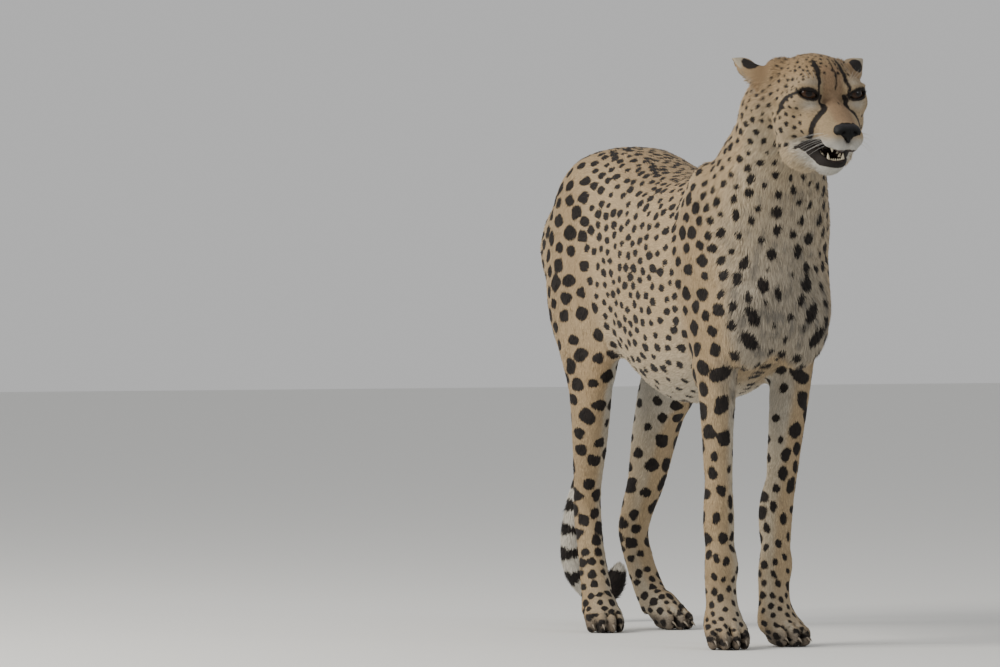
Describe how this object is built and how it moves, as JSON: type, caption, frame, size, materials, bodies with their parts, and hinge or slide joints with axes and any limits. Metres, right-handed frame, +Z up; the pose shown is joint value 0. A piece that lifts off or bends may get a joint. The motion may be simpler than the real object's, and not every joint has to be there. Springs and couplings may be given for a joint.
{
  "type": "cheetah figure",
  "caption": "Life-size model of a standing cheetah, its head turned a little to its left, its mouth just open and its tail hanging; it stands on flat soles.",
  "frame": {"origin": "middle of the floor area that the animal covers, on the floor", "axes": "+Z up, -Y the way that the animal faces, +X its left side"},
  "size_m": [0.2474, 1.1178, 0.8745],
  "materials": {
    "tan_coat": "short tan fur with black spots",
    "pale_coat": "longer pale fur",
    "ear_coat": "short dark fur",
    "amber_eye": "wet and glossy",
    "nose_leather": "damp leathery skin"
  },
  "bodies": {
    "root": {"trunk": "tan_coat", "neck": "tan_coat", "head": "tan_coat", "lower_jaw": "pale_coat", "nose": "nose_leather", "eye_left": "amber_eye", "eye_right": "amber_eye", "ear_left": "ear_coat", "ear_right": "ear_coat", "upper_arm_left": "tan_coat", "upper_arm_right": "tan_coat", "forearm_left": "tan_coat", "forearm_right": "tan_coat", "forepaw_left": "tan_coat", "forepaw_right": "tan_coat", "thigh_left": "tan_coat", "thigh_right": "tan_coat", "shank_left": "tan_coat", "shank_right": "tan_coat", "hind_foot_left": "tan_coat", "hind_foot_right": "tan_coat", "hindpaw_left": "tan_coat", "hindpaw_right": "tan_coat", "tail_root": "tan_coat", "tail_middle": "tan_coat", "tail_end": "pale_coat"}
  },
  "joints": []
}
